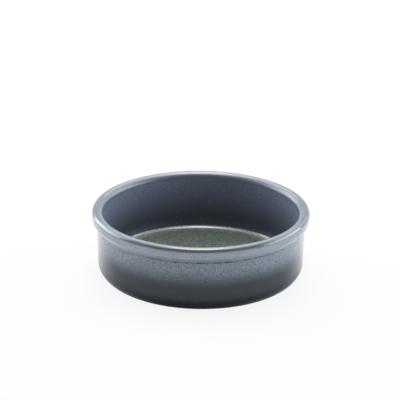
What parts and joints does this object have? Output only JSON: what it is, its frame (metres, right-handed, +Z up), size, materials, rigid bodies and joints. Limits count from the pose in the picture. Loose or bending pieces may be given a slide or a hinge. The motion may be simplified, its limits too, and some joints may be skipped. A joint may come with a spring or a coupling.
{
  "type": "tapas dish",
  "caption": "Round stoneware tapas dish with an upright wall, a heavy pale rim band and a bare foot ring; blue-grey speckled glaze outside, dark blue wall and green speckled floor inside.",
  "frame": {"origin": "centre of the foot ring, on the surface that the dish stands on", "axes": "+Z up along the dish's axis of revolution; X and Y lie in the plane of the foot"},
  "size_m": [0.145, 0.145, 0.0465],
  "materials": {
    "clay": "bare fired stoneware, matt and slightly gritty",
    "green_glaze": "satin grey-green glaze with dense ochre specks",
    "blue_glaze": "glossy dark blue-grey glaze",
    "pale_glaze": "satin pale blue-grey glaze that breaks over edges",
    "slate_glaze": "glossy speckled blue-grey glaze, darker towards the foot",
    "base_glaze": "glossy slate glaze"
  },
  "bodies": {
    "root": {"stoneware_body": "clay", "floor_glaze": "green_glaze", "wall_glaze": "blue_glaze", "rim_glaze": "pale_glaze", "outer_glaze": "slate_glaze", "base_glaze": "base_glaze"}
  },
  "joints": []
}
